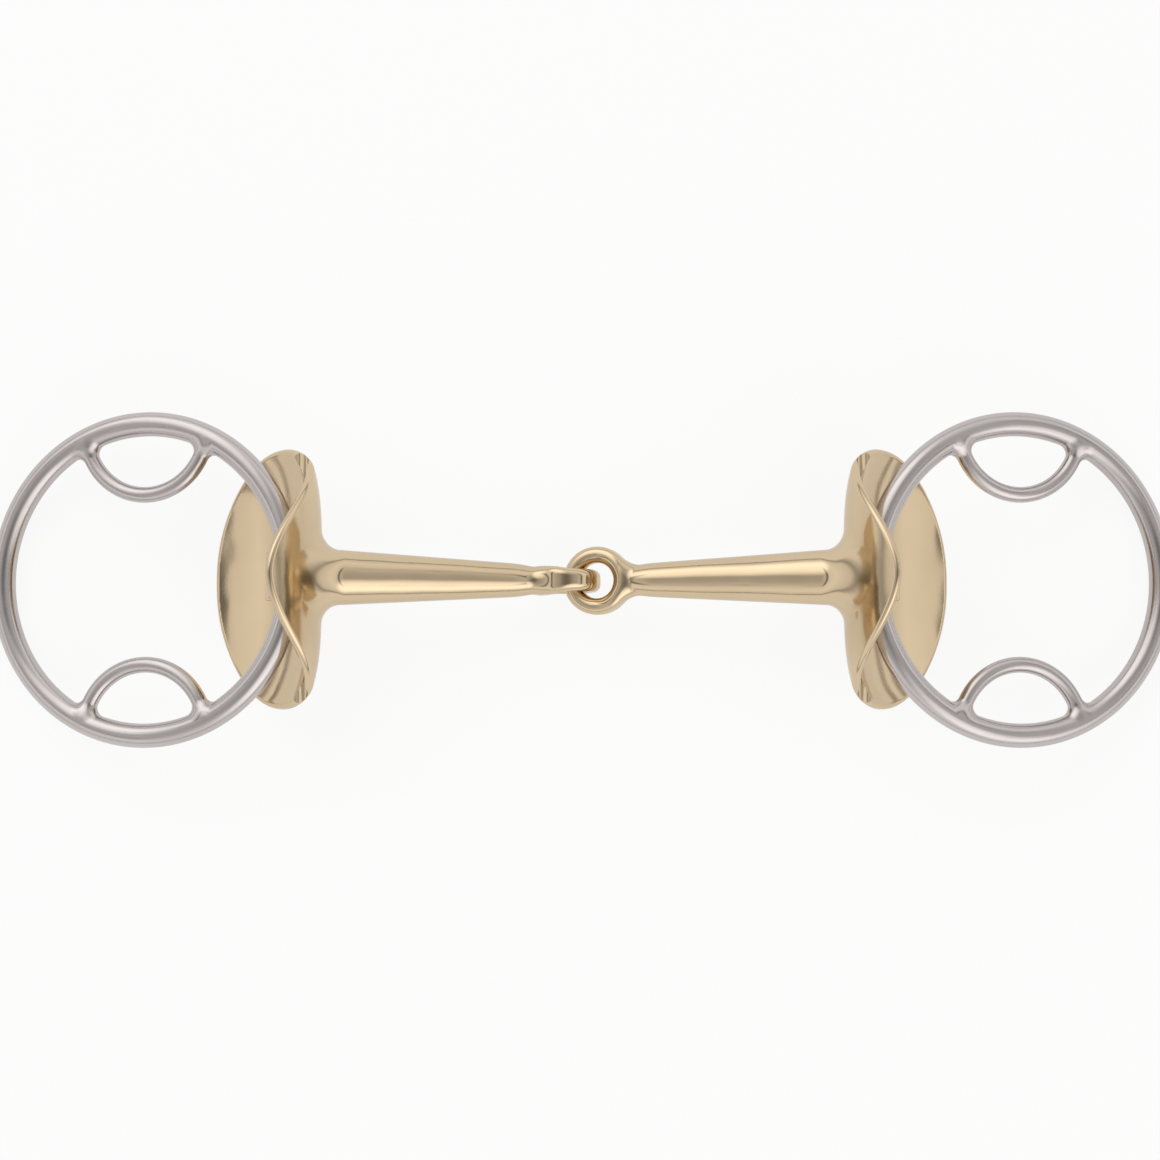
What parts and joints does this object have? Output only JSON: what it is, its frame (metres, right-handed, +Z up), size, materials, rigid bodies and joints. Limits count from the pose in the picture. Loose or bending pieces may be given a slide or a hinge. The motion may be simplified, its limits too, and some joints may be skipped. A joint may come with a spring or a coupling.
{
  "type": "snaffle bit",
  "caption": "Jointed loose-ring snaffle bit with flared cheek wings and a strap loop welded inside the top and bottom of each ring.",
  "frame": {"origin": "middle of the bit on the surface it lies on, midway between the two wings", "axes": "+X along the mouthpiece from the left wing to the right wing, +Y along the bores towards the upper strap loops, +Z up, away from the surface it lies on, towards the wings' front flaps"},
  "size_m": [0.2952, 0.083, 0.0447],
  "materials": {
    "cast_alloy": "polished cast copper alloy, pale gold",
    "ring_steel": "polished stainless steel wire",
    "sleeve_steel": "satin turned steel"
  },
  "bodies": {
    "left_arm": {"left_eye": "cast_alloy", "left_cannon": "cast_alloy", "left_wing": "cast_alloy"},
    "left_sleeve": {"left_bush": "sleeve_steel"},
    "left_cheek_ring": {"left_ring": "ring_steel", "left_upper_loop": "ring_steel", "left_lower_loop": "ring_steel"},
    "right_arm": {"right_eye": "cast_alloy", "right_cannon": "cast_alloy", "right_wing": "cast_alloy"},
    "right_sleeve": {"right_bush": "sleeve_steel"},
    "right_cheek_ring": {"right_ring": "ring_steel", "right_upper_loop": "ring_steel", "right_lower_loop": "ring_steel"}
  },
  "joints": [
    {"name": "centre_fold", "type": "hinge", "parent": "left_arm", "child": "right_arm", "pos_m": [-0.00394, 0, 0.00845], "axis": [0, -1, 0], "range_deg": [-140, 95]},
    {"name": "left_ring_swivel", "type": "hinge", "parent": "left_arm", "child": "left_sleeve", "pos_m": [-0.07111, 0, 0.02591], "axis": [0, 1, 0], "range_deg": [-30, 80]},
    {"name": "left_ring_slide", "type": "hinge", "parent": "left_sleeve", "child": "left_cheek_ring", "pos_m": [-0.10787, 0, 0.01445], "axis": [-0.2975, 0, 0.9547], "range_deg": [-46, 46]},
    {"name": "right_ring_swivel", "type": "hinge", "parent": "right_arm", "child": "right_sleeve", "pos_m": [0.07122, 0, 0.02624], "axis": [0, -1, 0], "range_deg": [-30, 80]},
    {"name": "right_ring_slide", "type": "hinge", "parent": "right_sleeve", "child": "right_cheek_ring", "pos_m": [0.10792, 0, 0.01462], "axis": [0.3018, 0, 0.9534], "range_deg": [-46, 46]}
  ]
}
